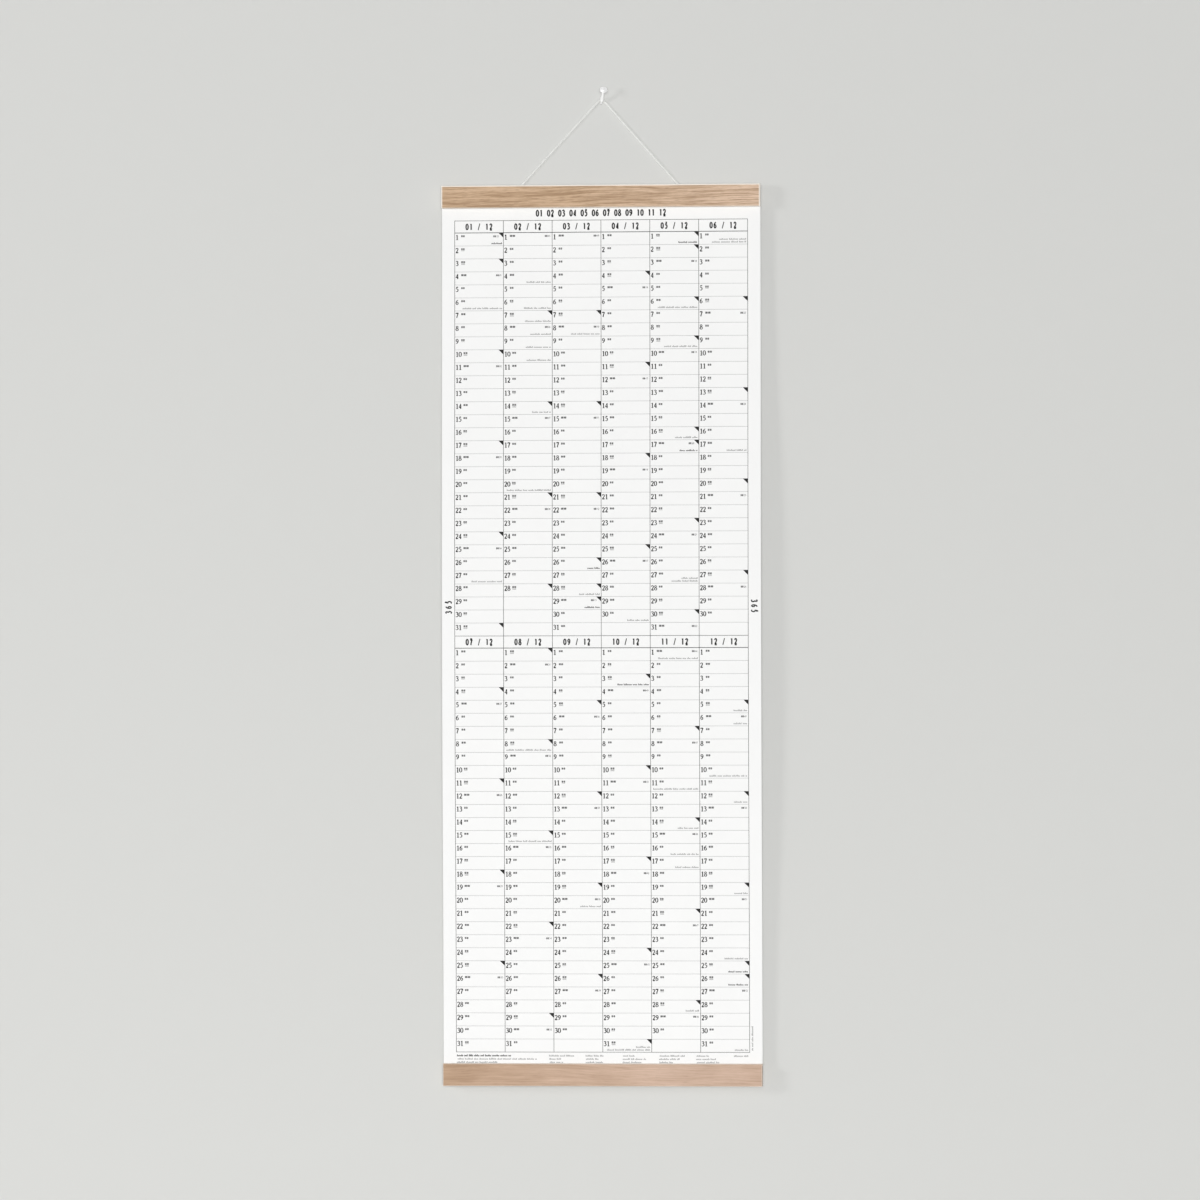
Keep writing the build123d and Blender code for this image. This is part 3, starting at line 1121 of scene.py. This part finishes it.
class CALENDAR_OT_marks(bpy.types.Operator):
    """Print the small marks: weekdays, week numbers, captions, corners and footer."""

    bl_idname = "calendar.marks"
    bl_label = "Small marks"

    def execute(self, context):
        table = Table()
        inks = chosen().print_
        soft = ink_finish("soft_ink", inks.soft)
        black = ink_finish("mark_ink", inks.black)
        pale = ink_finish("pale_ink", inks.pale)
        rng = np.random.default_rng(7)
        # A weekday starts past its day's numeral, and a week's number ends at the cell's
        # right, or before its corner.
        marks, weeks, corners = [], [], []
        for month, day, weekday, week in year_days():
            x, drop = table.corner(month, day)
            right = x + table.column
            marks += self.weekday_marks(x + (6.1 if day < 10 else 8.3), drop + 2.15, weekday)
            cornered = weekday == 6 or (month, day) in CORNER_DAYS
            if weekday == 0 or (month, day) == (1, 1):
                end = right - (4.4 if cornered else 1.7)
                marks += self.week_marks(end, drop)
                weeks.append((f"{week:02d}", end - 2.3, drop + 4.2))
            if cornered:
                corners.append((right, drop))
        ink_piece("weekday_marks", soft, blocks(marks, INK))
        ink_piece("week_numerals", soft, write(weeks, *WEEK_TYPE, **WEEK_PEN))

        dark = [self.caption(table, rng, *c) for c in DARK_CAPTIONS]
        dark.append(greeked(rng, -138.0, -86.4, FOOTER_DROP, tall=1.8, low=1.2, width=0.66))
        ink_piece("dark_captions", black, blocks(np.concatenate(dark), INK))
        runs = [self.caption(table, rng, *c) for c in SOFT_CAPTIONS]
        runs += [self.caption(table, rng, *c, rise=2.6) for c in SECOND_LINES]
        runs += [
            greeked(rng, left, right, FOOTER_DROP + FOOTER_PITCH * line)
            for line, left, right in FOOTER
        ]
        runs.append(self.imprint(rng, 141.3, 790.0, 813.0))
        ink_piece("soft_captions", pale, blocks(np.concatenate(runs), INK))
        self.corners(np.array(corners), black)
        return {"FINISHED"}

    @staticmethod
    def weekday_marks(left, top, weekday):
        """Two blocks side by side, with a line below for Saturday and two for Sunday."""
        height, gap, rule = 1.8, 0.4, 0.3
        right = left + WEEKDAY_WIDTHS[weekday]
        middle = (left + right) / 2 + 0.2
        lines = [top + 2.3 + 0.7 * line for line in range(weekday - 4)]
        return [
            (left, top, middle - gap, top + height),
            (middle, top, right, top + height),
            *((left, foot, right, foot + rule) for foot in lines),
        ]

    @staticmethod
    def week_marks(end, drop):
        """Two blocks that stand before a week's number."""
        spans = ((5.2, 4.1), (3.9, 2.7))
        return [(end - left, drop + 2.5, end - right, drop + 4.2) for left, right in spans]

    @staticmethod
    def caption(table, rng, month, day, width, rise=0.0):
        """A run of blocks at the lower right of a day's cell."""
        x, drop = table.corner(month, day)
        right = x + table.column - 1.2
        return greeked(rng, right - width, right, drop + table.row - 1.5 - rise)

    @staticmethod
    def imprint(rng, x, top, bottom):
        """A run of blocks that reads downwards, with its foot at x."""
        return greeked(rng, top, bottom, 0.0)[:, [1, 0, 3, 2]] + (x, 0, x, 0)

    @staticmethod
    def corners(places, ink):
        """Right-angled prisms in the top right corners of cells."""
        shape = np.array([[-CORNER, 0.0], [0.0, CORNER], [0.0, 0.0]])
        flat = (places[:, None] + shape)[:, None]
        front, back = (side.reshape(-1, 3) for side in printed(flat, CORNER_INK))
        first = np.arange(len(places))[:, None] * 3
        behind = len(front)
        triangles = first + np.array([0, 1, 2])
        a, b = triangles.ravel(), triangles[:, [1, 2, 0]].ravel()
        sides = np.column_stack([b, a, a + behind, b + behind])
        points = np.concatenate([front, back])
        turned = triangles[:, ::-1] + behind
        dress(make_piece("corner_marks", points, triangles, turned, sides), ink)


def finish_nodes(finish, *names):
    """Puts a finish on CAD nodes, in their own material slots."""
    for name in names:
        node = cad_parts[name]
        if not node.material_slots:
            node.data.materials.append(finish)
        for slot in node.material_slots:
            slot.material = finish


class CALENDAR_OT_slats(bpy.types.Operator):
    """Finish the four slats in oak, each from its own board."""

    bl_idname = "calendar.slats"
    bl_label = "Slats"

    def execute(self, context):
        # Each board is (seed, streaks, clouds, lean, tint, reach, rim); rim is the strength of the
        # painted highlight on the upper slats' top edge and ends.
        boards = {
            "top_front_slat": (
                (0, 0, 0), 0.75, 0.25, 1.0, (1.06, 1.05, 1.04), (-0.1, 0.5), 0.85
            ),
            "bottom_front_slat": (
                (410, 37, 590), 0.2, 0.4, -1.0, (1.0, 0.98, 1.03), (-0.5, 0.2), 0.0
            ),
            "top_rear_slat": (
                (820, 73, 140), 0.4, 0.3, 1.0, (1.0, 1.0, 1.0), (-0.4, 0.4), 0.85
            ),
            "bottom_rear_slat": (
                (130, 11, 300), 0.3, 0.3, -2.0, (1.0, 1.0, 1.0), (-0.5, 0.5), 0.0
            ),
        }
        for node, board in boards.items():
            finish_nodes(oak_finish(node, *board), node)
        return {"FINISHED"}


class CALENDAR_OT_hardware(bpy.types.Operator):
    """Finish the pin and the magnets."""

    bl_idname = "calendar.hardware"
    bl_label = "Pin and magnets"

    def execute(self, context):
        settings = chosen().hardware
        finish_nodes(moulded_finish(), "pin_body")
        steel = metal_finish("drawn_steel", settings.steel, 0.2, (3.0, 0.4, 3.0))
        finish_nodes(steel, "pin_needle")
        nickel = metal_finish("nickel_plate", settings.nickel, 0.16, (1.5, 1.5, 1.5))
        finish_nodes(nickel, *sorted(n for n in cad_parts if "_magnet_" in n))
        return {"FINISHED"}


OPERATORS = (
    CALENDAR_OT_stage, CALENDAR_OT_cord, CALENDAR_OT_sheet, CALENDAR_OT_rules,
    CALENDAR_OT_numerals, CALENDAR_OT_marks, CALENDAR_OT_slats, CALENDAR_OT_hardware,
)


class CALENDAR_PT_panel(bpy.types.Panel):
    """Lists the calendar's sizes, colours and operators."""

    bl_idname = "CALENDAR_PT_panel"
    bl_label = "Calendar"
    bl_space_type = "VIEW_3D"
    bl_region_type = "UI"
    bl_category = "Calendar"

    def draw(self, context):
        settings = context.scene.calendar
        for group in CalendarSettings.__annotations__:
            box = self.layout.box()
            part = getattr(settings, group)
            for name in type(part).__annotations__:
                box.prop(part, name)
        for operator in OPERATORS:
            self.layout.operator(operator.bl_idname)


CLASSES = (
    SheetSettings, PrintSettings, OakSettings, CordSettings, HardwareSettings,
    StageSettings, CalendarSettings, *OPERATORS, CALENDAR_PT_panel,
)


def register():
    for cls in CLASSES:
        bpy.utils.register_class(cls)
    bpy.types.Scene.calendar = bpy.props.PointerProperty(type=CalendarSettings)


def unregister():
    del bpy.types.Scene.calendar
    for cls in reversed(CLASSES):
        bpy.utils.unregister_class(cls)


def main():
    register()
    for operator in OPERATORS:
        group, name = operator.bl_idname.split(".")
        getattr(getattr(bpy.ops, group), name)()


if __name__ == "__main__":
    main()
